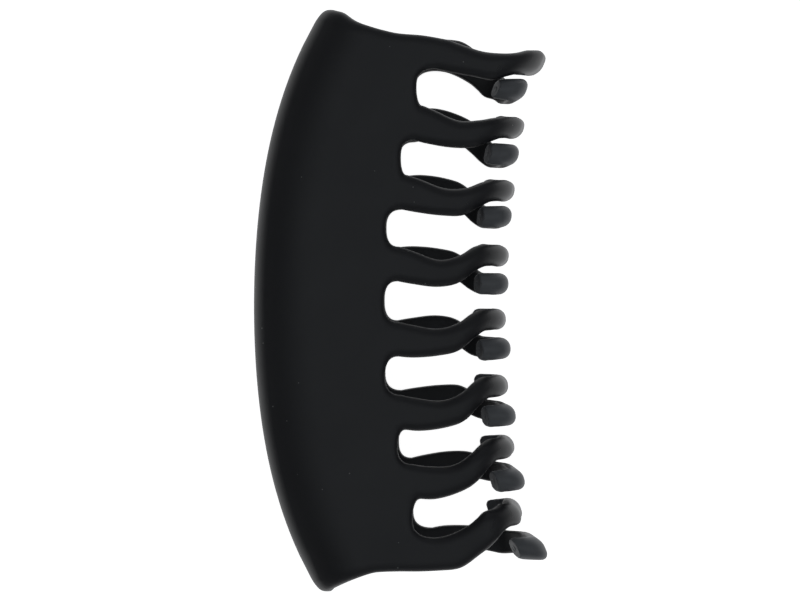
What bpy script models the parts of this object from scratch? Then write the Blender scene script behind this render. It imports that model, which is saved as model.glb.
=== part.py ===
# Large claw hair clip, lying on its side with its jaws closed.
# Two moulded jaws are hinged on a steel pin and held shut by a torsion spring.
# Each jaw is modelled as a flat sheet with a toothed outline, given its wall and
# rounded edges, and then bent along the side profile. The lower jaw differs from the
# upper one only in its first tooth and is turned half a turn about the X axis.
# +X points to the tooth tips, +Y runs along the clip, +Z is up.

import math
from collections import namedtuple

import bmesh
import bpy
from mathutils import Vector

# Driving sizes, in millimetres
MM = 0.001
DEPTH = 35.0           # across the flat outer faces of the closed jaws
WALL = 2.8
HINGE_INSET = 14.0     # from the handle edge to the pin's axis
ARCH_SQUARE = 2.74e-3  # the long edge is an arch: x = square * y^2 + fourth * y^4
ARCH_FOURTH = 4.54e-7
CENTRE_X = 28.0        # from the handle edge at mid length to the middle of the box
GAP_SIDES = 27.3       # from the handle edge to where the gaps' sides turn straight
GAP_SKEW = 1.0         # 0 for bottoms that follow the arch, 1 for bottoms along Y
GAP_SQUARENESS = 0.8   # below 1, the bottom's two corners are fuller than an ellipse's
OUTER_ROUND = 1.9      # edge rounding on the outer face, measured across the face
BODY_ROUNDING = 0.4    # how steeply that rounding starts on the body, 1 on the shanks
INNER_ROUND = 0.5
HORN_ROUND = (2.6, 2.5)  # rounding of the sheet's corners, along and across
TIP_ROUND = 1.8
TIP_BEVEL = 1.7        # slant of each tooth's end face, outside to inside
RUNNING_GAP = 0.3

PIN_RADIUS = 1.4
PIN_HEAD_RADIUS = 2.2
PIN_HEAD = 1.0
LUG_WALL = 3.0
LUG_RADIUS = 3.7
LUG_BASE = 11.0
LUG_INNER_FACE = 10.0  # from mid length to the first lug
WIRE = 1.2
COIL_RADIUS = 2.4      # to the middle of the wire
COIL_PITCH = 1.9
COIL_TURNS = 8
SPRING_END_S = 6.0     # where each spring leg presses, from the handle edge
HANDLE_SAG = 1.1       # how far the handle has curved inwards there

# Side profile of the outer face, from the handle edge round to the hook.
# Each stretch has a length along the face and the angle that it turns through.
Stretch = namedtuple("Stretch", "name length turn")
START_HEADING = 80.0
PROFILE = (
    Stretch("lip", 2.0, 0.0),
    Stretch("lip_bend", math.radians(50) * 4.5, -50.0),
    Stretch("crown", math.radians(30) * 18.0, -30.0),
    Stretch("flat", 26.15, 0.0),
    Stretch("shoulder", math.radians(88) * 10.0, -88.0),
    Stretch("shank", 21.0, 0.0),
    Stretch("hook", math.radians(98) * 3.5, -98.0),
    Stretch("hook_end", 3.2, 0.0),
)

# Ends of the flat sheet: how far it reaches along +Y and -Y at places along the profile
End = namedtuple("End", "along upper lower")
HORN_REACH = 55.4
ENDS = (
    End(5.0, 55.2, 55.05),
    End(7.6, 54.75, 54.25),
    End(10.8, 53.4, 53.25),
    End(12.7, 52.75, 52.7),
    End(15.2, 52.1, 52.0),
    End(17.2, 51.6, 51.55),
    End(21.0, 50.85, 51.35),
    End(26.1, 50.45, 51.3),
)

# Where along the profile the tooth centre lines and widths are given
Station = namedtuple("Station", "root neck crest shoulder bend cross tip hook")
ALONG = Station(30.0, 34.0, 39.0, 43.2, 46.7, 50.1, 78.0, 86.6)

# Each tooth: its centre line along Y at those stations, how much farther out than the
# profile its tip is, how deep the gap below it is, and its widths
Tooth = namedtuple("Tooth", (*Station._fields, "reach", "gap", "width"))
PLAIN = Station(6.75, 6.25, 5.15, 5.2, 4.65, 4.1, 4.1, 4.1)
FIRST = Station(5.65, 5.25, 4.75, 5.1, 4.5, 4.5, 4.5, 4.1)
LAST = Station(6.15, 6.05, 5.5, 5.7, 4.4, 4.3, 4.3, 3.8)
TEETH = (
    Tooth(47.25, 46.2, 45.1, 44.6, 45.1, 45.65, 46.2, 46.3, -0.5, 2.4, FIRST),
    Tooth(34.25, 33.05, 31.75, 31.85, 32.6, 33.15, 33.7, 34.15, -0.1, 1.8, PLAIN),
    Tooth(21.0, 20.0, 18.85, 18.95, 20.3, 21.1, 21.5, 21.8, 0.5, 2.8, PLAIN),
    Tooth(7.4, 6.4, 5.3, 6.15, 8.1, 8.8, 8.85, 9.2, 0.6, 2.5, PLAIN),
    Tooth(-7.0, -7.6, -7.75, -6.7, -4.65, -3.5, -3.4, -3.4, 0.3, 2.8, PLAIN),
    Tooth(-20.9, -21.5, -21.4, -19.95, -17.6, -16.3, -16.2, -16.1, 0.1, 2.1, PLAIN),
    Tooth(-34.05, -34.45, -33.7, -31.65, -29.4, -28.1, -27.9, -28.1, -0.3, 2.8, PLAIN),
    Tooth(-48.1, -47.5, -45.25, -42.9, -41.5, -40.6, -40.3, -40.45, -2.1, 0.0, LAST),
)

# The lower jaw's first tooth runs straighter than the upper jaw's
LOWER_FIRST = Tooth(47.25, 46.3, 46.0, 46.5, 46.7, 46.8, 46.85, 46.9, -0.5, 2.4, FIRST)
LOWER_TEETH = (LOWER_FIRST, *TEETH[1:])

# Facets
ARC_STEP = 18.75       # degrees of profile bend to a facet
ARCH_CUTS = 16
GAP_POINTS = 8
CORNER_POINTS = 3
EDGE_SEGMENTS = 2
PIN_SIDES = 20
LUG_ARC_POINTS = 10
COIL_POINTS = 12       # to a turn

HALF = DEPTH / 2
HINGE_X = HINGE_INSET - CENTRE_X
PROFILE_LENGTH = sum(stretch.length for stretch in PROFILE)


def clear_scene():
    for item in list(bpy.data.objects):
        bpy.data.objects.remove(item, do_unlink=True)


def arch(y):
    return ARCH_SQUARE * y ** 2 + ARCH_FOURTH * y ** 4


def stretch_start(name):
    """Distance along the profile at which a stretch begins."""
    before = 0.0
    for stretch in PROFILE:
        if stretch.name == name:
            return before
        before += stretch.length
    return before


def walk(along):
    """Follow the profile from the handle edge: distance out, height and heading."""
    heading = math.radians(START_HEADING)
    out = -OUTER_ROUND * math.cos(heading)
    height = 0.0
    left = along
    for stretch in PROFILE:
        step = min(left, stretch.length)
        if stretch.turn:
            turn = math.radians(stretch.turn)
            radius = stretch.length / turn
            after = heading + turn * step / stretch.length
            out += radius * (math.sin(after) - math.sin(heading))
            height += radius * (math.cos(heading) - math.cos(after))
            heading = after
        else:
            out += step * math.cos(heading)
            height += step * math.sin(heading)
        left -= step
        if left <= 0:
            break
    return out, height, heading


CROWN_HEIGHT = walk(stretch_start("flat"))[1]


def curve_through(places, values, at):
    """Smooth curve through the values given at a few places."""
    count = len(places)
    index = max(i for i in range(count - 1) if i == 0 or places[i] <= at)

    def slope(i):
        low = max(i - 1, 0)
        high = min(i + 1, count - 1)
        return (values[high] - values[low]) / (places[high] - places[low])

    span = places[index + 1] - places[index]
    t = min(max((at - places[index]) / span, 0.0), 1.0)
    start = values[index] * (1 + 2 * t) * (1 - t) ** 2
    end = values[index + 1] * t * t * (3 - 2 * t)
    bends = slope(index) * t * (1 - t) ** 2 - slope(index + 1) * t * t * (1 - t)
    return start + end + span * bends


def centre_line(tooth, along):
    return curve_through(ALONG, tooth[:len(ALONG)], along)


def half_width(tooth, along):
    return curve_through(ALONG, tooth.width, along) / 2


def bend_places():
    """Places along the profile where the flat sheet is creased to follow the bends."""
    places = []
    for stretch in PROFILE:
        start = stretch_start(stretch.name)
        pieces = max(1, round(abs(stretch.turn) / ARC_STEP))
        places += [start + stretch.length * i / pieces for i in range(pieces)]
    return places[1:]


def gap_start():
    """Place along the profile where the straight sides of the gaps begin."""
    flat = stretch_start("flat")
    return flat + GAP_SIDES - walk(flat)[0]


def tooth_places():
    """Places along a tooth at which it is creased and its two edges get a point."""
    first = gap_start()
    shoulder = stretch_start("shoulder")
    shank = stretch_start("shank")
    hook = stretch_start("hook")
    places = [first + part * (shoulder - first) for part in (0.0, 0.3, 0.65)]
    places += [shank + part * (hook - shank) for part in (0.25, 0.6)]
    places += [place for place in bend_places() if place >= shoulder]
    return sorted(places)


def tooth_end(tooth):
    """Round end of a tooth in the flat sheet, from its upper edge to its lower edge."""
    middle = centre_line(tooth, PROFILE_LENGTH)
    half = half_width(tooth, PROFILE_LENGTH) - TIP_ROUND
    points = []
    steps = range(CORNER_POINTS + 1)
    for side, angles in ((1, steps), (-1, steps[::-1])):
        for step in angles:
            angle = math.radians(90) * step / CORNER_POINTS
            along = PROFILE_LENGTH - TIP_ROUND * (1 - math.sin(angle))
            points.append((along, middle + side * (half + TIP_ROUND * math.cos(angle))))
    return points


def tooth_edges(tooth):
    places = [place for place in tooth_places() if place < PROFILE_LENGTH - TIP_ROUND]
    upper = [(u, centre_line(tooth, u) + half_width(tooth, u)) for u in places]
    lower = [(u, centre_line(tooth, u) - half_width(tooth, u)) for u in places]
    return upper, lower


def gap_bottom(start, end, depth):
    """Round bottom of the gap between two teeth, from one edge point to the next."""
    middle = (start[1] + end[1]) / 2
    half = (start[1] - end[1]) / 2
    points = []
    for step in range(1, GAP_POINTS):
        angle = math.pi * step / GAP_POINTS
        deep = math.sin(angle) ** GAP_SQUARENESS
        wide = math.copysign(abs(math.cos(angle)) ** GAP_SQUARENESS, math.cos(angle))
        skew = GAP_SKEW * (arch(middle + half * wide) - arch(middle))
        points.append((start[0] - (depth + skew) * deep, middle + half * wide))
    return points


def horn(side):
    """Points of one end of the sheet, from the handle edge to the tooth side."""
    points = []
    long, wide = HORN_ROUND
    for step in range(CORNER_POINTS + 1):
        angle = math.radians(90) * step / CORNER_POINTS
        y = HORN_REACH - wide * (1 - math.sin(angle))
        points.append((long * (1 - math.cos(angle)), side * y))
    points += [(end.along, end.upper if side > 0 else -end.lower) for end in ENDS]
    return points


def sheet_outline(teeth):
    """The toothed outline of one jaw laid flat, as (along, y) points."""
    points = horn(1)
    above = None
    for tooth in teeth:
        upper, lower = tooth_edges(tooth)
        if above:
            points += gap_bottom(gap_top, upper[0], above.gap)
        points += upper + tooth_end(tooth) + lower[::-1]
        above = tooth
        gap_top = lower[0]
    return points + horn(-1)[::-1]


def cut_across(bm, place, direction, faces=None):
    geometry = faces or bm.faces
    edges = {edge for face in geometry for edge in face.edges}
    corners = {vert for face in geometry for vert in face.verts}
    bmesh.ops.bisect_plane(
        bm,
        geom=list(geometry) + list(edges) + list(corners),
        dist=1e-5,
        plane_co=place,
        plane_no=direction,
    )


def bend(point, teeth):
    """Carry a point of the flat sheet to its place on the jaw, about the pin's axis."""
    along, y, depth = point
    out, height, heading = walk(along)
    lean = max(0.0, min(1.0, (along - ALONG.root) / (stretch_start("shank") - ALONG.root)))
    if lean:
        tooth = min(teeth, key=lambda row: abs(centre_line(row, along) - y))
        out += tooth.reach * lean ** 2
    rounding = BODY_ROUNDING + (1 - BODY_ROUNDING) * lean
    depth *= rounding + (1 - rounding) * (depth / WALL) ** 2
    x = out + depth * math.sin(heading) + arch(y) - HINGE_INSET
    z = height - depth * math.cos(heading) - CROWN_HEIGHT + HALF
    return Vector((x, y, z)) * MM


def creased_sheet(teeth):
    """The flat toothed sheet, creased along and across where it will bend."""
    bm = bmesh.new()
    corners = [bm.verts.new((u, y, 0.0)) for u, y in sheet_outline(teeth)]
    face = bm.faces.new(corners)
    if face.normal.z > 0:
        face.normal_flip()
    body_end = gap_start() - max(tooth.gap for tooth in TEETH) - OUTER_ROUND - RUNNING_GAP
    cut_across(bm, (body_end, 0, 0), (1, 0, 0))
    for step in range(1, ARCH_CUTS):
        y = HORN_REACH * (2 * step / ARCH_CUTS - 1)
        body = [f for f in bm.faces if max(v.co.x for v in f.verts) < body_end + 1e-3]
        cut_across(bm, (0, y, 0), (0, 1, 0), body)
    for place in bend_places() + tooth_places():
        cut_across(bm, (place, 0, 0), (1, 0, 0))
    return bm


def slant_tips(bm):
    """Slant the end of every tooth so that its inside is longer than its outside."""
    cut = bmesh.ops.bisect_plane(
        bm,
        geom=list(bm.verts) + list(bm.edges) + list(bm.faces),
        dist=1e-5,
        plane_co=(PROFILE_LENGTH - TIP_BEVEL / 2, 0, WALL / 2),
        plane_no=Vector((WALL, 0, -TIP_BEVEL)),
        clear_outer=True,
    )
    edges = [item for item in cut["geom_cut"] if isinstance(item, bmesh.types.BMEdge)]
    bmesh.ops.holes_fill(bm, edges=edges)


def jaw_shell(teeth):
    """One jaw without its lugs."""
    bm = creased_sheet(teeth)
    grown = bmesh.ops.extrude_face_region(bm, geom=list(bm.faces))
    lifted = [item for item in grown["geom"] if isinstance(item, bmesh.types.BMVert)]
    bmesh.ops.translate(bm, verts=lifted, vec=(0, 0, WALL))
    bmesh.ops.recalc_face_normals(bm, faces=bm.faces)
    for level, size, segments in ((0.0, OUTER_ROUND, EDGE_SEGMENTS), (WALL, INNER_ROUND, 1)):
        sharp = [e for e in bm.edges if e.calc_face_angle(0.0) > math.radians(60)]
        rim = [e for e in sharp if all(abs(v.co.z - level) < 1e-4 for v in e.verts)]
        bmesh.ops.bevel(
            bm,
            geom=rim,
            offset=size,
            offset_type="OFFSET",
            segments=segments,
            profile=0.5,
            affect="EDGES",
            clamp_overlap=False,
            material=-1,
        )
    slant_tips(bm)
    for vert in bm.verts:
        vert.co = bend(vert.co, teeth)
    bmesh.ops.recalc_face_normals(bm, faces=bm.faces)
    mesh = bpy.data.meshes.new("jaw_shell")
    bm.to_mesh(mesh)
    bm.free()
    return mesh


def prism(name, outline, y_low, y_high):
    """A slab with an outline in X and Z, standing between two places along Y."""
    bm = bmesh.new()
    corners = [bm.verts.new((x * MM, y_low * MM, z * MM)) for x, z in outline]
    face = bm.faces.new(corners)
    grown = bmesh.ops.extrude_face_region(bm, geom=[face])
    lifted = [item for item in grown["geom"] if isinstance(item, bmesh.types.BMVert)]
    bmesh.ops.translate(bm, verts=lifted, vec=(0, (y_high - y_low) * MM, 0))
    bmesh.ops.recalc_face_normals(bm, faces=bm.faces)
    mesh = bpy.data.meshes.new(name)
    bm.to_mesh(mesh)
    bm.free()
    return add_object(name, mesh)


def add_object(name, data):
    item = bpy.data.objects.new(name, data)
    bpy.context.scene.collection.objects.link(item)
    return item


def hide_guide(item):
    item.hide_render = True
    item.display_type = "WIRE"


def lug_outline():
    """Outline of a lug about the pin's axis: a wide foot in the wall, round at the pin."""
    foot = HALF - WALL * 0.7
    points = [(-LUG_BASE / 2, foot)]
    for step in range(LUG_ARC_POINTS + 1):
        angle = math.radians(160 + 220 * step / LUG_ARC_POINTS)
        points.append((LUG_RADIUS * math.cos(angle), LUG_RADIUS * math.sin(angle)))
    points.append((LUG_BASE / 2, foot))
    return points


def lug_spans():
    """Where the two lugs of the upper jaw stand along Y."""
    inner = (-LUG_INNER_FACE - LUG_WALL, -LUG_INNER_FACE)
    outer_start = LUG_INNER_FACE + LUG_WALL + RUNNING_GAP
    return inner, (outer_start, outer_start + LUG_WALL)


def turned(name, profile):
    """A piece turned about the Y axis from (radius, y) points."""
    bm = bmesh.new()
    ring = [bm.verts.new((radius * MM, y * MM, 0)) for radius, y in profile]
    edges = [bm.edges.new(pair) for pair in zip(ring, ring[1:])]
    bmesh.ops.spin(
        bm,
        geom=ring + edges,
        axis=(0, 1, 0),
        cent=(0, 0, 0),
        angle=math.tau,
        steps=PIN_SIDES,
        use_merge=True,
    )
    bmesh.ops.remove_doubles(bm, verts=bm.verts, dist=1e-6)
    bmesh.ops.recalc_face_normals(bm, faces=bm.faces)
    mesh = bpy.data.meshes.new(name)
    bm.to_mesh(mesh)
    bm.free()
    return add_object(name, mesh)


def pin_profile():
    """Shank of the pin with a domed head at each end."""
    reach = LUG_INNER_FACE + 2 * LUG_WALL + 2 * RUNNING_GAP
    side = (
        (PIN_RADIUS, reach),
        (PIN_HEAD_RADIUS, reach),
        (PIN_HEAD_RADIUS * 0.85, reach + PIN_HEAD * 0.6),
        (0.0, reach + PIN_HEAD),
    )
    return [(radius, -y) for radius, y in side[::-1]] + list(side)


def jaw_mesh(teeth):
    """One finished jaw: shell and lugs in one, with the pin's bore through the lugs."""
    base = add_object("jaw_base", jaw_shell(teeth))
    for number, (low, high) in enumerate(lug_spans()):
        lug = prism(f"lug_{number}", lug_outline(), low, high)
        hide_guide(lug)
        join = base.modifiers.new(f"join_{number}", "BOOLEAN")
        join.operation = "UNION"
        join.solver = "EXACT"
        join.object = lug
    reach = LUG_INNER_FACE + 3 * LUG_WALL
    bore_radius = PIN_RADIUS + RUNNING_GAP
    bore = turned("bore", ((0, -reach), (bore_radius, -reach), (bore_radius, reach), (0, reach)))
    hide_guide(bore)
    drill = base.modifiers.new("drill", "BOOLEAN")
    drill.operation = "DIFFERENCE"
    drill.solver = "EXACT"
    drill.object = bore
    evaluated = bpy.context.evaluated_depsgraph_get()
    finished = bpy.data.meshes.new_from_object(base.evaluated_get(evaluated))
    clear_scene()
    return finished


def wire(name, points):
    """Round spring wire along points given in millimetres about the pin's axis."""
    curve = bpy.data.curves.new(name, "CURVE")
    curve.dimensions = "3D"
    curve.bevel_depth = WIRE / 2 * MM
    curve.bevel_resolution = 1
    curve.use_fill_caps = True
    line = curve.splines.new("POLY")
    line.points.add(len(points) - 1)
    for place, point in zip(line.points, points):
        place.co = (*(Vector(point) * MM), 1.0)
    return add_object(name, curve)


def leg_geometry():
    """End point of the upper spring leg and the angle at which it leaves the coil."""
    end_x = SPRING_END_S - HINGE_INSET
    inside = HALF - WALL - HANDLE_SAG
    end_z = inside - RUNNING_GAP - WIRE / 2
    far = math.hypot(end_x, end_z)
    leave = math.atan2(end_z, end_x) + math.acos(COIL_RADIUS / far)
    return (end_x, end_z), leave


def upper_arm_points():
    """The last turn of the spring and its leg under the upper handle."""
    (end_x, end_z), leave = leg_geometry()
    y = LUG_INNER_FACE - RUNNING_GAP - WIRE / 2
    points = []
    for step in range(COIL_POINTS):
        angle = leave - math.radians(330) * (1 - step / (COIL_POINTS - 1))
        points.append((COIL_RADIUS * math.cos(angle), y, COIL_RADIUS * math.sin(angle)))
    x, _, z = points[-1]
    leg = [(x + (end_x - x) * part, y, z + (end_z - z) * part) for part in (0.15, 1.0)]
    return points + leg


def coil_points():
    """The leg under the lower handle and the turns round the pin."""
    (end_x, end_z), leave = leg_geometry()
    start_y = -(LUG_INNER_FACE - RUNNING_GAP - WIRE / 2)
    turns = []
    for step in range(COIL_TURNS * COIL_POINTS + 1):
        angle = -leave + math.tau * step / COIL_POINTS
        y = start_y + COIL_PITCH * step / COIL_POINTS
        turns.append((COIL_RADIUS * math.cos(angle), y, COIL_RADIUS * math.sin(angle)))
    x, _, z = turns[0]
    leg = [(x + (end_x - x) * part, start_y, z + (-end_z - z) * part) for part in (1.0, 0.15)]
    return leg + turns


def material(name, colour, roughness, metallic):
    finish = bpy.data.materials.new(name)
    finish.use_nodes = True
    shader = finish.node_tree.nodes["Principled BSDF"]
    shader.inputs["Base Color"].default_value = (*colour, 1.0)
    shader.inputs["Roughness"].default_value = roughness
    shader.inputs["Metallic"].default_value = metallic
    return finish


def finish_piece(item, finish, smooth_angle=40.0):
    item.data.materials.clear()
    item.data.materials.append(finish)
    if item.type == "MESH":
        item.data.shade_smooth()
        item.data.set_sharp_from_angle(angle=math.radians(smooth_angle))


def build():
    clear_scene()
    lower_moulding = jaw_mesh(LOWER_TEETH)
    upper_moulding = jaw_mesh(TEETH)
    plastic = material("black_plastic", (0.012, 0.012, 0.014), 0.55, 0.0)
    steel = material("spring_steel", (0.45, 0.45, 0.46), 0.35, 1.0)
    axis = Vector((HINGE_X, 0.0, HALF)) * MM

    lower = add_object("lower_jaw", lower_moulding)
    lower.rotation_euler = (math.pi, 0, 0)
    upper = add_object("upper_jaw", upper_moulding)
    pin = turned("hinge_pin", pin_profile())
    coil = wire("torsion_spring", coil_points())
    arm = wire("spring_arm", upper_arm_points())
    for item in (lower, upper, pin, coil, arm):
        item.location = axis
    for item in (lower, upper):
        finish_piece(item, plastic)
    for item in (pin, coil, arm):
        finish_piece(item, steel)


build()
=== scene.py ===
# Looks for the large claw hair clip: two soft-touch black jaws, a steel pin and a
# torsion spring, lying on a white table and seen from straight above.
# A jaw is a flat toothed sheet that gets its wall and its rounded edges and is then
# bent along the clip's side profile. The lower jaw is made the same way and turned over.

import math
from collections import namedtuple

import bmesh
import bpy
from mathutils import Matrix, Vector


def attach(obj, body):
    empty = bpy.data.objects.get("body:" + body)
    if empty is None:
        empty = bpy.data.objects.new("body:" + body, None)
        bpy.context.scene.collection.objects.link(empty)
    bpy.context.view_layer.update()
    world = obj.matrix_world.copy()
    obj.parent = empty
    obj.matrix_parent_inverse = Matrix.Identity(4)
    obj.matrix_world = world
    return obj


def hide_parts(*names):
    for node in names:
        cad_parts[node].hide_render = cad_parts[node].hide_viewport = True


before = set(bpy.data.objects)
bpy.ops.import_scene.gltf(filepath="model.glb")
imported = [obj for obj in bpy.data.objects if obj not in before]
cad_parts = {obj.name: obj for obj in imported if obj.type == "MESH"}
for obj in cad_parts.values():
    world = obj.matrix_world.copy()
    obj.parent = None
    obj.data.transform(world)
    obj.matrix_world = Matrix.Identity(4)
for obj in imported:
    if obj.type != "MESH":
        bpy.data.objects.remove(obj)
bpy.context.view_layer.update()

# Sizes of the clip, in millimetres
MM = 0.001
DEPTH = 35.0           # across the flat outer faces of the closed jaws
WALL = 2.8
HINGE_INSET = 14.0     # from the handle edge to the pin's axis
ARCH_SQUARE = 2.74e-3  # the long edge is an arch: x = square * y^2 + fourth * y^4
ARCH_FOURTH = 4.54e-7
CENTRE_X = 28.0        # from the handle edge at mid length to the middle of the box
GAP_SIDES = 27.3       # from the handle edge to where the gaps' sides turn straight
GAP_SKEW = 1.0         # 0 for bottoms that follow the arch, 1 for bottoms along Y
GAP_SQUARENESS = 0.8   # below 1, the bottom's two corners are fuller than an ellipse's
GAP_REACH = 6.8        # from those straight sides to past the deepest bottom's rounding
OUTER_ROUND = 1.9      # edge rounding on the outer face, measured across the face
BODY_ROUNDING = 0.4    # how steeply that rounding starts on the body, 1 on the shanks
INNER_ROUND = 0.5
HORN_ROUND = (2.6, 2.5)  # rounding of the sheet's corners, along and across
TIP_ROUND = 1.8
TIP_BEVEL = 1.7        # slant of each tooth's end face, outside to inside
TIP_RIM = 0.22         # small rounding of the end face's rim
RUNNING_GAP = 0.3

PIN_RADIUS = 1.4
PIN_HEAD_RADIUS = 2.2
PIN_HEAD = 1.0
PIN_HEAD_RIM = 0.1
PIN_HEAD_EDGE = 0.3    # share of the head's height that lies below its dome
LUG_WALL = 3.0
LUG_RADIUS = 3.7
LUG_BASE = 11.0
LUG_INNER_FACE = 10.0  # from mid length to the first lug
LUG_RIM = 0.4
LUG_FOOT = 0.7         # how deep below the outer face a lug's foot lies, in walls
LUG_ARC = (160, 380)   # degrees, where the round of a lug starts and ends
WIRE = 1.2
COIL_RADIUS = 2.4      # to the middle of the wire
COIL_PITCH = 1.9
COIL_TURNS = 8
LAST_TURN = 330        # degrees, the turn that moves with the upper leg
LEG_START = 0.15       # first point of a leg after the coil, as a share of the leg
SPRING_END_S = 6.0     # where each spring leg presses, from the handle edge
HANDLE_SAG = 1.1       # how far the handle has curved inwards there

MARK_RADIUS = 0.5      # the round ejector mark on each tooth's end face
MARK_RIM = 0.14
MARK_HEIGHT = 0.07
MARK_TOLERANCE = MARK_HEIGHT / 10
TIP_LIGHT_REACH = 5.0   # how far up the shanks the painted light on the hooks fades out
END_FACE_LIGHT = 0.5         # the end faces get less of the hooks' painted light
MARK_HIGHLIGHT = 1.4        # and the ejector marks more, as a painted highlight

# Side profile of the outer face, from the handle edge round to the hook.
# Each stretch has a length along the face and the angle that it turns through.
Stretch = namedtuple("Stretch", "name length turn")
START_HEADING = 80.0
PROFILE = (
    Stretch("lip", 2.0, 0.0),
    Stretch("lip_bend", math.radians(50) * 4.5, -50.0),
    Stretch("crown", math.radians(30) * 18.0, -30.0),
    Stretch("flat", 26.15, 0.0),
    Stretch("shoulder", math.radians(88) * 10.0, -88.0),
    Stretch("shank", 21.0, 0.0),
    Stretch("hook", math.radians(98) * 3.5, -98.0),
    Stretch("hook_end", 3.2, 0.0),
)
PROFILE_LENGTH = sum(stretch.length for stretch in PROFILE)

# Ends of the flat sheet: how far it reaches along +Y and -Y at places along the profile
End = namedtuple("End", "along upper lower")
HORN_REACH = 55.4
ENDS = (
    End(5.0, 55.2, 55.05),
    End(7.6, 54.75, 54.25),
    End(10.8, 53.4, 53.25),
    End(12.7, 52.75, 52.7),
    End(15.2, 52.1, 52.0),
    End(17.2, 51.6, 51.55),
    End(21.0, 50.85, 51.35),
    End(26.1, 50.45, 51.3),
)

# Where along the profile the tooth centre lines and widths are given
Station = namedtuple("Station", "root neck crest shoulder bend cross tip hook")
ALONG = Station(30.0, 34.0, 39.0, 43.2, 46.7, 50.1, 78.0, 86.6)

# Each tooth: its centre line along Y at those stations, how much farther out than the
# profile its tip is, how deep the gap below it is, and its widths
Tooth = namedtuple("Tooth", (*Station._fields, "reach", "gap", "width"))
PLAIN = Station(6.75, 6.25, 5.15, 5.2, 4.65, 4.1, 4.1, 4.1)
FIRST = Station(5.65, 5.25, 4.75, 5.1, 4.5, 4.5, 4.5, 4.1)
LAST = Station(6.15, 6.05, 5.5, 5.7, 4.4, 4.3, 4.3, 3.8)
TEETH = (
    Tooth(47.25, 46.2, 45.1, 44.6, 45.1, 45.65, 46.2, 46.3, -0.5, 2.4, FIRST),
    Tooth(34.25, 33.05, 31.75, 31.85, 32.6, 33.15, 33.7, 34.15, -0.1, 1.8, PLAIN),
    Tooth(21.0, 20.0, 18.85, 18.95, 20.3, 21.1, 21.5, 21.8, 0.5, 2.8, PLAIN),
    Tooth(7.4, 6.4, 5.3, 6.15, 8.1, 8.8, 8.85, 9.2, 0.6, 2.5, PLAIN),
    Tooth(-7.0, -7.6, -7.75, -6.7, -4.65, -3.5, -3.4, -3.4, 0.3, 2.8, PLAIN),
    Tooth(-20.9, -21.5, -21.4, -19.95, -17.6, -16.3, -16.2, -16.1, 0.1, 2.1, PLAIN),
    Tooth(-34.05, -34.45, -33.7, -31.65, -29.4, -28.1, -27.9, -28.1, -0.3, 2.8, PLAIN),
    Tooth(-48.1, -47.5, -45.25, -42.9, -41.5, -40.6, -40.3, -40.45, -2.1, 0.0, LAST),
)

# The lower jaw's first tooth runs straighter than the upper jaw's
LOWER_FIRST = Tooth(47.25, 46.3, 46.0, 46.5, 46.7, 46.8, 46.85, 46.9, -0.5, 2.4, FIRST)
LOWER_TEETH = (LOWER_FIRST, *TEETH[1:])

# Fineness of the meshes
BEND_STEP = 4.0        # degrees of profile bend to a facet
EDGE_STEP = 0.8        # between outline points
ARCH_STEP = 2.0
ARCH_REACH = 48.5      # beyond it the ends are not creased along the profile
TOOTH_STEP = 2.5
GAP_POINTS = 20
CORNER_POINTS = 8
OUTER_SEGMENTS = 7
INNER_SEGMENTS = 3
TIP_RIM_SEGMENTS = 2
LUG_RIM_SEGMENTS = 3
MARK_SIDES = 28
PIN_SIDES = 64
LUG_STEP = 8.0         # degrees
COIL_POINTS = 40       # to a turn
WIRE_RESOLUTION = 4
SHARP_EDGE = math.radians(60)    # edges of the sheet that are rounded
SMOOTH_ANGLE = math.radians(40)  # edges below it are shaded smooth
CLOSE = 1e-4           # places nearer than this count as one
CUT_CLOSE = 1e-5

# Colours of the finishes
BLACK_DEEP = (0.0066, 0.0071, 0.0092)
BLACK_WORN = (0.0102, 0.0107, 0.0130)
# Painted light: the lighter grey that the hooks are painted towards
HOOK_LIGHT_GREY = (0.083, 0.087, 0.094)
DUST_GREY = (0.10, 0.10, 0.10)
STEEL_BRIGHT = (0.50, 0.50, 0.51)
STEEL_DULL = (0.36, 0.355, 0.35)

# Grain of the finishes: noise scales are in cells to a metre, depths in metres
GRAIN_DEPTH = 0.00002
DUST_CELLS = 420.0
DUST_SIZE = 0.06       # radius of a speck, as a share of its cell
DUST_CHANCE = 0.2      # share of the cells that hold a speck

# The view: straight down, from far enough that the jaws' depth hardly shows
CAMERA_HEIGHT = 1180.0  # above the clip's middle
CAMERA_AIM = (-0.22, 0.20)
CAMERA_ROLL = 0.0065
FRAME_WIDTH = 153.93   # what the image takes in across, at the clip's middle
SENSOR = 36.0

# Table and lights, in metres and watts
TABLE_REACH = 3.0
TABLE_DROP = 0.0002    # below the clip, so that the two surfaces don't meet
TABLE_GLOW = 0.94
Softbox = namedtuple("Softbox", "name place size power")
SOFTBOXES = (
    Softbox("overhead", (0.2, 0.0, 1.6), (0.9, 2.4), 6.1),
    Softbox("side", (0.2, -1.9, 1.0), (1.0, 1.6), 3.15),
    Softbox("side", (0.2, 1.9, 1.0), (1.0, 1.6), 3.15),
)
LIGHT_TINT = (0.90, 0.955, 1.0)
ROOM_LIGHT = 0.08

HALF = DEPTH / 2
HINGE = Vector((HINGE_INSET - CENTRE_X, 0.0, HALF))


def arch(y):
    return ARCH_SQUARE * y ** 2 + ARCH_FOURTH * y ** 4


def stretch_start(name):
    """Distance along the profile at which a stretch begins."""
    before = 0.0
    for stretch in PROFILE:
        if stretch.name == name:
            return before
        before += stretch.length
    return before


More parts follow.
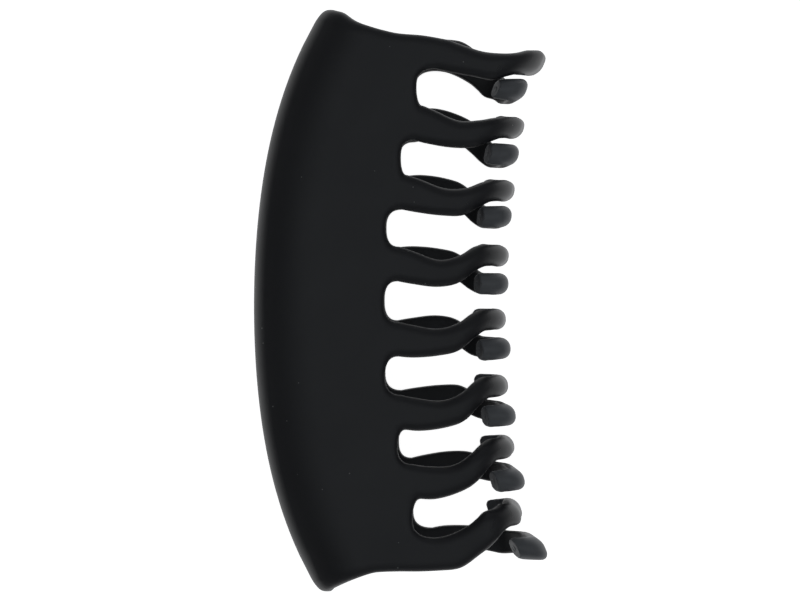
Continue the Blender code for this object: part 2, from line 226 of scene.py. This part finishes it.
def walk(along):
    """Follow the profile from the handle edge: distance out, height and heading."""
    heading = math.radians(START_HEADING)
    out = -OUTER_ROUND * math.cos(heading)
    height = 0.0
    left = along
    for stretch in PROFILE:
        step = min(left, stretch.length)
        if stretch.turn:
            turn = math.radians(stretch.turn)
            radius = stretch.length / turn
            after = heading + turn * step / stretch.length
            out += radius * (math.sin(after) - math.sin(heading))
            height += radius * (math.cos(heading) - math.cos(after))
            heading = after
        else:
            out += step * math.cos(heading)
            height += step * math.sin(heading)
        left -= step
        if left <= 0:
            break
    return out, height, heading


CROWN_HEIGHT = walk(stretch_start("flat"))[1]


def curve_through(places, values, at):
    """Smooth curve through the values given at a few places."""
    count = len(places)
    index = max(i for i in range(count - 1) if i == 0 or places[i] <= at)

    def slope(i):
        low = max(i - 1, 0)
        high = min(i + 1, count - 1)
        return (values[high] - values[low]) / (places[high] - places[low])

    span = places[index + 1] - places[index]
    t = min(max((at - places[index]) / span, 0.0), 1.0)
    start = values[index] * (1 + 2 * t) * (1 - t) ** 2
    end = values[index + 1] * t * t * (3 - 2 * t)
    bends = slope(index) * t * (1 - t) ** 2 - slope(index + 1) * t * t * (1 - t)
    return start + end + span * bends


def centre_line(tooth, along):
    return curve_through(ALONG, tooth[:len(ALONG)], along)


def half_width(tooth, along):
    return curve_through(ALONG, tooth.width, along) / 2


def steps_between(low, high, step):
    """Evenly spaced values from low to high, both included, about a step apart."""
    count = max(1, round((high - low) / step))
    return [low + (high - low) * i / count for i in range(count + 1)]


def bend_places():
    """Places along the profile where the flat sheet is creased to follow the bends."""
    places = []
    for stretch in PROFILE:
        if stretch.turn:
            start = stretch_start(stretch.name)
            step = stretch.length * BEND_STEP / abs(stretch.turn)
            places += steps_between(start, start + stretch.length, step)
    return places


def gap_start():
    """Place along the profile where the straight sides of the gaps begin."""
    flat = stretch_start("flat")
    return flat + GAP_SIDES - walk(flat)[0]


def corner_steps():
    return [math.radians(90) * step / CORNER_POINTS for step in range(CORNER_POINTS + 1)]


def tooth_end(tooth):
    """Round end of a tooth in the flat sheet, from its upper edge to its lower edge."""
    middle = centre_line(tooth, PROFILE_LENGTH)
    half = half_width(tooth, PROFILE_LENGTH) - TIP_ROUND
    points = []
    for side, angles in ((1, corner_steps()), (-1, corner_steps()[::-1])):
        for angle in angles:
            along = PROFILE_LENGTH - TIP_ROUND * (1 - math.sin(angle))
            points.append((along, middle + side * (half + TIP_ROUND * math.cos(angle))))
    return points


def tooth_edges(tooth):
    places = steps_between(gap_start(), PROFILE_LENGTH - TIP_ROUND, EDGE_STEP)[:-1]
    upper = [(u, centre_line(tooth, u) + half_width(tooth, u)) for u in places]
    lower = [(u, centre_line(tooth, u) - half_width(tooth, u)) for u in places]
    return upper, lower


def gap_bottom(start, end, depth):
    """Round bottom of the gap between two teeth, from one edge point to the next."""
    middle = (start[1] + end[1]) / 2
    half = (start[1] - end[1]) / 2
    points = []
    for step in range(1, GAP_POINTS):
        angle = math.pi * step / GAP_POINTS
        deep = math.sin(angle) ** GAP_SQUARENESS
        wide = math.copysign(abs(math.cos(angle)) ** GAP_SQUARENESS, math.cos(angle))
        skew = GAP_SKEW * (arch(middle + half * wide) - arch(middle))
        points.append((start[0] - (depth + skew) * deep, middle + half * wide))
    return points


def horn(side):
    """Points of one end of the sheet, from the handle edge to the tooth side."""
    long, wide = HORN_ROUND
    points = []
    for angle in corner_steps():
        y = HORN_REACH - wide * (1 - math.sin(angle))
        points.append((long * (1 - math.cos(angle)), side * y))
    outer_tooth = TEETH[0] if side > 0 else TEETH[-1]
    tooth_side = centre_line(outer_tooth, gap_start()) * side
    tooth_side += half_width(outer_tooth, gap_start())
    places = [long] + [end.along for end in ENDS] + [gap_start()]
    reaches = [end.upper if side > 0 else end.lower for end in ENDS]
    reaches = [HORN_REACH] + reaches + [tooth_side]
    for along in steps_between(long, gap_start(), EDGE_STEP)[1:-1]:
        points.append((along, side * curve_through(places, reaches, along)))
    return points


def sheet_outline(teeth):
    """The toothed outline of one jaw laid flat, as (along, y) points."""
    points = horn(1)
    above = None
    for tooth in teeth:
        upper, lower = tooth_edges(tooth)
        if above:
            points += gap_bottom(gap_top, upper[0], above.gap)
        points += upper + tooth_end(tooth) + lower[::-1]
        above = tooth
        gap_top = lower[0]
    return points + horn(-1)[::-1]


def cut_across(bm, place, direction, faces=None):
    """Cut faces, or the whole mesh, along a plane without opening them."""
    geometry = list(faces or bm.faces)
    edges = dict.fromkeys(edge for face in geometry for edge in face.edges)
    corners = dict.fromkeys(vert for face in geometry for vert in face.verts)
    bmesh.ops.bisect_plane(
        bm,
        geom=[*geometry, *edges, *corners],
        dist=CUT_CLOSE,
        plane_co=place,
        plane_no=direction,
    )


def bend(point, teeth):
    """Carry a point of the flat sheet to its place on the jaw, about the pin's axis."""
    along, y, depth = point
    out, height, heading = walk(along)
    lean = (along - ALONG.root) / (stretch_start("shank") - ALONG.root)
    lean = max(0.0, min(1.0, lean))
    if lean:
        tooth = min(teeth, key=lambda row: abs(centre_line(row, along) - y))
        out += tooth.reach * lean ** 2
    rounding = BODY_ROUNDING + (1 - BODY_ROUNDING) * lean
    depth *= rounding + (1 - rounding) * (depth / WALL) ** 2
    x = out + depth * math.sin(heading) + arch(y) - HINGE_INSET
    z = height - depth * math.cos(heading) - CROWN_HEIGHT + HALF
    return Vector((x, y, z))


def creased_sheet(teeth):
    """The flat toothed sheet, creased along and across where it will bend."""
    bm = bmesh.new()
    corners = [bm.verts.new((u, y, 0.0)) for u, y in sheet_outline(teeth)]
    face = bm.faces.new(corners)
    if face.normal.z > 0:
        face.normal_flip()
    body_end = gap_start() - GAP_REACH
    roots_end = gap_start() + EDGE_STEP / 2
    for place in (body_end, roots_end):
        cut_across(bm, (place, 0, 0), (1, 0, 0))
    for y in steps_between(-ARCH_REACH, ARCH_REACH, ARCH_STEP):
        body = [f for f in bm.faces if max(v.co.x for v in f.verts) < body_end + CLOSE]
        cut_across(bm, (0, y, 0), (0, 1, 0), body)
    middles = [centre_line(tooth, gap_start()) for tooth in TEETH]
    gaps = [(above + below) / 2 for above, below in zip(middles, middles[1:])]
    for y in middles + gaps:
        roots = [f for f in bm.faces if body_end < f.calc_center_median().x < roots_end]
        cut_across(bm, (0, y, 0), (0, 1, 0), roots)
    along_teeth = steps_between(gap_start(), PROFILE_LENGTH, TOOTH_STEP)[1:-1]
    for place in bend_places() + along_teeth:
        cut_across(bm, (place, 0, 0), (1, 0, 0))
    return bm


def end_plane():
    """A place on every tooth's slanted end face, and the direction that it faces."""
    place = Vector((PROFILE_LENGTH - TIP_BEVEL / 2, 0, WALL / 2))
    return place, Vector((WALL, 0, -TIP_BEVEL)).normalized()


def pull_out(bm, faces, shift):
    """Extrude faces by a shift, and return the ones that end the new part."""
    grown = bmesh.ops.extrude_face_region(bm, geom=faces)["geom"]
    lifted = [item for item in grown if isinstance(item, bmesh.types.BMVert)]
    bmesh.ops.translate(bm, verts=lifted, vec=shift)
    return [item for item in grown if isinstance(item, bmesh.types.BMFace)]


def round_edges(bm, edges, size, segments):
    bmesh.ops.bevel(
        bm,
        geom=edges,
        offset=size,
        offset_type="OFFSET",
        segments=segments,
        profile=0.5,
        affect="EDGES",
        clamp_overlap=False,
        material=-1,
    )


def slant_tips(bm):
    """Slant the end of every tooth so that its inside is longer than its outside."""
    place, outward = end_plane()
    cut = bmesh.ops.bisect_plane(
        bm,
        geom=list(bm.verts) + list(bm.edges) + list(bm.faces),
        dist=CUT_CLOSE,
        plane_co=place,
        plane_no=outward,
        clear_outer=True,
    )
    edges = [item for item in cut["geom_cut"] if isinstance(item, bmesh.types.BMEdge)]
    bmesh.ops.holes_fill(bm, edges=edges)
    bmesh.ops.recalc_face_normals(bm, faces=bm.faces)
    rims = [edge for edge in edges if edge.is_valid]
    round_edges(bm, rims, TIP_RIM, TIP_RIM_SEGMENTS)


def add_end_marks(bm, teeth):
    """A small raised ring on every tooth's end face, left by the mould's ejector pin."""
    place, outward = end_plane()
    turn = Vector((0, 0, 1)).rotation_difference(outward).to_matrix().to_4x4()
    sunk = Matrix.Translation((0, 0, -MARK_HEIGHT))
    for tooth in teeth:
        middle = centre_line(tooth, PROFILE_LENGTH)
        seat = Matrix.Translation((place.x, middle, place.z)) @ turn
        disc = bmesh.ops.create_circle(
            bm,
            cap_ends=True,
            radius=MARK_RADIUS,
            segments=MARK_SIDES,
            matrix=seat @ sunk,
        )
        top = pull_out(bm, list(disc["verts"][0].link_faces), outward * 2 * MARK_HEIGHT)
        bmesh.ops.inset_region(bm, faces=top, thickness=MARK_RIM, use_even_offset=True)
        dished = list({vert for face in top for vert in face.verts})
        bmesh.ops.translate(bm, verts=dished, vec=-outward * MARK_HEIGHT)


def hook_painted_light(point):
    """How much painted light the hooks get: 0 on the body and shanks, 1 on the hooks."""
    place, outward = end_plane()
    height = abs((point - place).dot(outward))
    if height < MARK_TOLERANCE:
        return END_FACE_LIGHT
    if height < MARK_HEIGHT + MARK_TOLERANCE:
        return MARK_HIGHLIGHT
    start = stretch_start("hook") - TIP_LIGHT_REACH
    return max(0.0, min(1.0, (point.x - start) / TIP_LIGHT_REACH))


def jaw_shell(teeth):
    """One jaw without its lugs, in millimetres about the pin's axis."""
    bm = creased_sheet(teeth)
    pull_out(bm, list(bm.faces), (0, 0, WALL))
    bmesh.ops.recalc_face_normals(bm, faces=bm.faces)
    rounds = ((0.0, OUTER_ROUND, OUTER_SEGMENTS), (WALL, INNER_ROUND, INNER_SEGMENTS))
    for level, size, segments in rounds:
        sharp = [e for e in bm.edges if e.calc_face_angle(0.0) > SHARP_EDGE]
        rim = [e for e in sharp if all(abs(v.co.z - level) < CLOSE for v in e.verts)]
        round_edges(bm, rim, size, segments)
    slant_tips(bm)
    add_end_marks(bm, teeth)
    bmesh.ops.recalc_face_normals(bm, faces=bm.faces)
    # Painted light: a share on every point that lightens the hooks' colour
    painted_light_share = bm.verts.layers.float.new("hook_painted_light")
    for vert in bm.verts:
        vert[painted_light_share] = hook_painted_light(vert.co)
        vert.co = bend(vert.co, teeth)
    # The bend lays the wall's depth downwards, which turns every face round
    bmesh.ops.reverse_faces(bm, faces=bm.faces)
    return bm


def lug_outline():
    """Outline of a lug about the pin's axis: a wide foot, and round at the pin."""
    foot = HALF - WALL * LUG_FOOT
    points = [(-LUG_BASE / 2, foot)]
    for angle in steps_between(*LUG_ARC, LUG_STEP):
        turn = math.radians(angle)
        points.append((LUG_RADIUS * math.cos(turn), LUG_RADIUS * math.sin(turn)))
    points.append((LUG_BASE / 2, foot))
    return points


def lug_spans():
    """Where the two lugs of the upper jaw stand along Y."""
    inner = (-LUG_INNER_FACE - LUG_WALL, -LUG_INNER_FACE)
    outer_start = LUG_INNER_FACE + LUG_WALL + RUNNING_GAP
    return inner, (outer_start, outer_start + LUG_WALL)


def lug(bm, y_low, y_high):
    """One lug with softly rounded sides."""
    corners = [bm.verts.new((x, y_low, z)) for x, z in lug_outline()]
    pull_out(bm, [bm.faces.new(corners)], (0, y_high - y_low, 0))
    bmesh.ops.recalc_face_normals(bm, faces=bm.faces)
    ends = [face for face in bm.faces if len(face.verts) == len(corners)]
    rims = [edge for end in ends for edge in end.edges]
    round_edges(bm, rims, LUG_RIM, LUG_RIM_SEGMENTS)


def object_from(name, bm):
    mesh = bpy.data.meshes.new(name)
    bm.to_mesh(mesh)
    bm.free()
    item = bpy.data.objects.new(name, mesh)
    bpy.context.scene.collection.objects.link(item)
    return item


def placed(bm, turned_over=False):
    """Carry a mesh made about the pin's axis, in millimetres, to its place in metres."""
    turn = Matrix.Rotation(math.pi if turned_over else 0.0, 4, "X")
    place = Matrix.Scale(MM, 4) @ Matrix.Translation(HINGE) @ turn
    bmesh.ops.transform(bm, matrix=place, verts=bm.verts)
    return bm


def bore_cutter():
    """A plain rod as wide as the bore, long enough for every lug."""
    bm = bmesh.new()
    reach = LUG_INNER_FACE + 3 * LUG_WALL
    bmesh.ops.create_cone(
        bm,
        cap_ends=True,
        segments=PIN_SIDES,
        radius1=PIN_RADIUS + RUNNING_GAP,
        radius2=PIN_RADIUS + RUNNING_GAP,
        depth=2 * reach,
        matrix=Matrix.Rotation(math.radians(90), 4, "X"),
    )
    return object_from("bore_cutter", placed(bm))


def lugs(name, turned_over):
    """Both lugs of a jaw, bored for the pin."""
    bm = bmesh.new()
    for low, high in lug_spans():
        single = bmesh.new()
        lug(single, low, high)
        mesh = bpy.data.meshes.new("lug")
        single.to_mesh(mesh)
        single.free()
        bm.from_mesh(mesh)
    item = object_from(name, placed(bm, turned_over))
    cutter = bore_cutter()
    drill = item.modifiers.new("drill", "BOOLEAN")
    drill.operation = "DIFFERENCE"
    drill.solver = "EXACT"
    drill.object = cutter
    bored = item.evaluated_get(bpy.context.evaluated_depsgraph_get())
    item.data = bpy.data.meshes.new_from_object(bored)
    item.modifiers.clear()
    bpy.data.objects.remove(cutter, do_unlink=True)
    return item


def pin():
    """Steel pin with a domed head at each end."""
    reach = LUG_INNER_FACE + 2 * LUG_WALL + 2 * RUNNING_GAP
    side = [
        (PIN_RADIUS, reach),
        (PIN_HEAD_RADIUS - PIN_HEAD_RIM, reach),
        (PIN_HEAD_RADIUS, reach + PIN_HEAD_RIM),
    ]
    for angle in corner_steps():
        height = PIN_HEAD * (PIN_HEAD_EDGE + (1 - PIN_HEAD_EDGE) * math.sin(angle))
        side.append((PIN_HEAD_RADIUS * math.cos(angle), reach + height))
    profile = [(radius, -y) for radius, y in side[::-1]] + side
    bm = bmesh.new()
    ring = [bm.verts.new((radius, y, 0)) for radius, y in profile]
    edges = [bm.edges.new(pair) for pair in zip(ring, ring[1:])]
    bmesh.ops.spin(
        bm,
        geom=ring + edges,
        axis=(0, 1, 0),
        cent=(0, 0, 0),
        angle=math.tau,
        steps=PIN_SIDES,
        use_merge=True,
    )
    bmesh.ops.remove_doubles(bm, verts=bm.verts, dist=CLOSE)
    bmesh.ops.recalc_face_normals(bm, faces=bm.faces)
    return object_from("steel_pin", placed(bm))


def leg_geometry():
    """End point of the upper spring leg and the angle at which it leaves the coil."""
    end_x = SPRING_END_S - HINGE_INSET
    inside = HALF - WALL - HANDLE_SAG
    end_z = inside - RUNNING_GAP - WIRE / 2
    far = math.hypot(end_x, end_z)
    leave = math.atan2(end_z, end_x) + math.acos(COIL_RADIUS / far)
    return (end_x, end_z), leave


def upper_arm_points():
    """The last turn of the spring and its leg under the upper handle."""
    (end_x, end_z), leave = leg_geometry()
    y = LUG_INNER_FACE - RUNNING_GAP - WIRE / 2
    points = []
    for step in range(COIL_POINTS):
        angle = leave - math.radians(LAST_TURN) * (1 - step / (COIL_POINTS - 1))
        points.append((COIL_RADIUS * math.cos(angle), y, COIL_RADIUS * math.sin(angle)))
    x, _, z = points[-1]
    parts = (LEG_START, 1.0)
    leg = [(x + (end_x - x) * part, y, z + (end_z - z) * part) for part in parts]
    return points + leg


def coil_points():
    """The leg under the lower handle and the turns round the pin."""
    (end_x, end_z), leave = leg_geometry()
    start_y = -(LUG_INNER_FACE - RUNNING_GAP - WIRE / 2)
    turns = []
    for step in range(COIL_TURNS * COIL_POINTS + 1):
        angle = -leave + math.tau * step / COIL_POINTS
        y = start_y + COIL_PITCH * step / COIL_POINTS
        turns.append((COIL_RADIUS * math.cos(angle), y, COIL_RADIUS * math.sin(angle)))
    x, _, z = turns[0]
    parts = (1.0, LEG_START)
    leg = [(x + (end_x - x) * part, start_y, z - (end_z + z) * part) for part in parts]
    return leg + turns


def wire(name, points):
    """Round spring wire along points given in millimetres about the pin's axis."""
    curve = bpy.data.curves.new(name, "CURVE")
    curve.dimensions = "3D"
    curve.bevel_depth = WIRE / 2 * MM
    curve.bevel_resolution = WIRE_RESOLUTION
    curve.use_fill_caps = True
    line = curve.splines.new("POLY")
    line.points.add(len(points) - 1)
    for place, point in zip(line.points, points):
        place.co = (*((Vector(point) + HINGE) * MM), 1.0)
    item = bpy.data.objects.new(name, curve)
    bpy.context.scene.collection.objects.link(item)
    return item


class Value:
    """A shader socket that adds a Math node when it is used in arithmetic."""

    def __init__(self, finish, socket):
        self.finish = finish
        self.socket = socket

    def _math(self, operation, *terms):
        inputs = dict(enumerate(terms))
        return self.finish.node("ShaderNodeMath", {"operation": operation}, inputs)

    def __add__(self, other):
        return self._math("ADD", self, other)

    __radd__ = __add__

    def __mul__(self, other):
        return self._math("MULTIPLY", self, other)

    __rmul__ = __mul__

    def below(self, limit):
        return self._math("LESS_THAN", self, limit)

    def above(self, limit):
        return self._math("GREATER_THAN", self, limit)


class Finish:
    """A material on the clip's own coordinates."""

    # The colour sockets of a Mix node, by number because its names repeat
    FIRST_COLOUR = 6
    SECOND_COLOUR = 7
    MIXED_COLOUR = 2

    def __init__(self, name):
        self.material = bpy.data.materials.new(name)
        self.material.use_nodes = True
        self.tree = self.material.node_tree
        self.shader = self.tree.nodes["Principled BSDF"]
        self.place = self.node("ShaderNodeTexCoord", output="Object")

    def node(self, kind, settings=None, inputs=None, output=0):
        """Add a node with its settings and the values or links of its sockets."""
        made = self.tree.nodes.new(kind)
        for name, value in (settings or {}).items():
            setattr(made, name, value)
        for name, value in (inputs or {}).items():
            self.set(made.inputs[name], value)
        return Value(self, made.outputs[output])

    def set(self, socket, value):
        if isinstance(value, Value):
            self.tree.links.new(value.socket, socket)
        elif isinstance(value, tuple) and len(value) == 3:
            socket.default_value = (*value, 1.0)
        else:
            socket.default_value = value

    def surface(self, **sockets):
        for name, value in sockets.items():
            self.set(self.shader.inputs[name.replace("_", " ")], value)

    def noise(self, scale, detail, roughness=0.5):
        inputs = {"Scale": scale, "Detail": detail, "Roughness": roughness}
        return self.node("ShaderNodeTexNoise", inputs={"Vector": self.place, **inputs})

    def blend(self, factor, first, second):
        """Mix two colours by a factor."""
        inputs = {"Factor": factor, self.FIRST_COLOUR: first, self.SECOND_COLOUR: second}
        settings = {"data_type": "RGBA"}
        return self.node("ShaderNodeMix", settings, inputs, self.MIXED_COLOUR)

    def bump(self, height, strength):
        inputs = {"Height": height, "Strength": strength, "Distance": GRAIN_DEPTH}
        return self.node("ShaderNodeBump", inputs=inputs)


def soft_touch_black():
    """Matt rubbery black: fine grain, faint patches, painted light on the hooks, specks of
    dust.
    """
    finish = Finish("soft_touch_black")
    grain = finish.noise(scale=5200.0, detail=2.0, roughness=0.6)
    orange_peel = finish.noise(scale=900.0, detail=1.0)
    patches = finish.noise(scale=70.0, detail=3.0, roughness=0.6)
    cells = {"Vector": finish.place, "Scale": DUST_CELLS}
    from_speck = finish.node("ShaderNodeTexVoronoi", inputs=cells, output="Distance")
    luck = finish.node("ShaderNodeTexVoronoi", inputs=cells, output="Color")
    luck = finish.node("ShaderNodeSeparateColor", inputs={"Color": luck}, output="Red")
    dust = from_speck.below(DUST_SIZE) * luck.above(1 - DUST_CHANCE)
    coat = finish.blend(patches, BLACK_DEEP, BLACK_WORN)
    # Painted light: the hooks are lightened towards grey, unevenly with the patches
    painted_light_share = finish.node("ShaderNodeAttribute", {"attribute_name": "hook_painted_light"}, output="Fac")
    lit_hooks = finish.blend(painted_light_share * (0.7 + 0.5 * patches), coat, HOOK_LIGHT_GREY)
    finish.surface(
        Base_Color=finish.blend(dust, lit_hooks, DUST_GREY),
        Roughness=0.44 + 0.12 * patches + 0.3 * dust,
        Specular_IOR_Level=0.36,
        Normal=finish.bump(grain + 0.8 * orange_peel, strength=0.35),
    )
    return finish.material


def bright_steel():
    """Drawn spring wire: bright, with a faint streaky variation."""
    finish = Finish("bright_steel")
    streaks = finish.noise(scale=1400.0, detail=3.0, roughness=0.7)
    tarnish = finish.noise(scale=160.0, detail=3.0)
    finish.surface(
        Base_Color=finish.blend(tarnish, STEEL_BRIGHT, STEEL_DULL),
        Metallic=1.0,
        Roughness=0.24 + 0.16 * tarnish,
        Normal=finish.bump(streaks, strength=0.3),
    )
    return finish.material


def white_table():
    """Matt white that glows a little, so that it comes out as an even white."""
    finish = Finish("white_table")
    finish.surface(
        Base_Color=(0.9, 0.9, 0.9),
        Roughness=0.9,
        Emission_Color=(1.0, 1.0, 1.0),
        Emission_Strength=TABLE_GLOW,
    )
    return finish.material


def smooth(item):
    item.data.shade_smooth()
    item.data.set_sharp_from_angle(angle=SMOOTH_ANGLE)
    weigh = item.modifiers.new("even_shading", "WEIGHTED_NORMAL")
    weigh.keep_sharp = True


def dress(item, body, node, material):
    """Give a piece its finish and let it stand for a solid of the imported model."""
    item.data.materials.clear()
    item.data.materials.append(material)
    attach(item, body)
    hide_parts(node)


def make_clip():
    black = soft_touch_black()
    steel = bright_steel()
    for body, node, teeth, turned_over in (
        ("upper_half", "upper_jaw", TEETH, False),
        ("lower_half", "lower_jaw", LOWER_TEETH, True),
    ):
        shell = object_from(f"{node}_shell", placed(jaw_shell(teeth), turned_over))
        bored = lugs(f"{node}_lugs", turned_over)
        for item in (shell, bored):
            smooth(item)
            dress(item, body, node, black)
    axle = pin()
    smooth(axle)
    dress(axle, "lower_half", "hinge_pin", steel)
    coil = wire("spring_coil", coil_points())
    dress(coil, "lower_half", "torsion_spring", steel)
    arm = wire("spring_leg", upper_arm_points())
    dress(arm, "upper_half", "spring_arm", steel)


def make_table():
    bm = bmesh.new()
    bmesh.ops.create_grid(bm, x_segments=1, y_segments=1, size=TABLE_REACH)
    bmesh.ops.translate(bm, verts=bm.verts, vec=(0, 0, -TABLE_DROP))
    table = object_from("table", bm)
    table.data.materials.append(white_table())


def add_softbox(softbox):
    """A rectangular area light that faces the clip; size is its reach in X and Y."""
    light = bpy.data.lights.new(softbox.name, "AREA")
    light.shape = "RECTANGLE"
    light.size, light.size_y = softbox.size
    light.energy = softbox.power
    light.color = LIGHT_TINT
    item = bpy.data.objects.new(softbox.name, light)
    item.location = softbox.place
    item.rotation_euler = (-Vector(softbox.place)).to_track_quat("-Z", "Y").to_euler()
    bpy.context.scene.collection.objects.link(item)


def make_studio():
    make_table()
    for softbox in SOFTBOXES:
        add_softbox(softbox)
    world = bpy.data.worlds.new("studio")
    world.use_nodes = True
    background = world.node_tree.nodes["Background"]
    background.inputs["Color"].default_value = (1, 1, 1, 1)
    background.inputs["Strength"].default_value = ROOM_LIGHT
    bpy.context.scene.world = world
    bpy.context.scene.view_settings.view_transform = "Standard"


def make_camera():
    data = bpy.data.cameras.new("camera")
    data.sensor_width = SENSOR
    data.lens = SENSOR * CAMERA_HEIGHT / FRAME_WIDTH
    camera = bpy.data.objects.new("camera", data)
    camera.location = Vector((*CAMERA_AIM, HALF + CAMERA_HEIGHT)) * MM
    camera.rotation_euler = (0, 0, CAMERA_ROLL)
    bpy.context.scene.collection.objects.link(camera)
    bpy.context.scene.camera = camera


make_clip()
make_studio()
make_camera()
